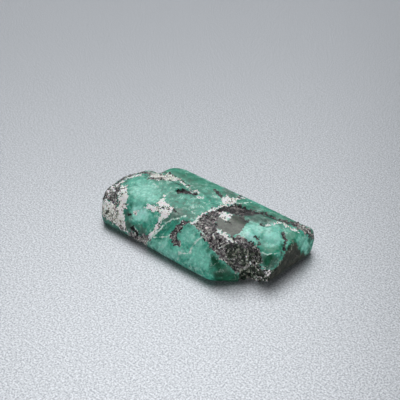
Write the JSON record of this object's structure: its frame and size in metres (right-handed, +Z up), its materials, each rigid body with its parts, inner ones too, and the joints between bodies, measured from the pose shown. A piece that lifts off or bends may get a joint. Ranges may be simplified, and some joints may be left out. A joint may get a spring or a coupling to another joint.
{
  "type": "raw emerald crystal",
  "caption": "Raw emerald specimen of two intergrown stout crystals with mica schist in the hollows between them, tumbled smooth, lying on its flat side",
  "frame": {"origin": "middle of the footprint of the bounding box, on the surface that the stone lies on", "axes": "+X along the length of the crystals to the blunt right end, +Y to the rear crystal, +Z up"},
  "size_m": [0.0476, 0.0246, 0.0086],
  "materials": {
    "emerald": "milky green beryl, satin from tumbling, with rough dark mica schist and white feldspar in the hollows"
  },
  "bodies": {
    "root": {"emerald_crystal": "emerald"}
  },
  "joints": []
}
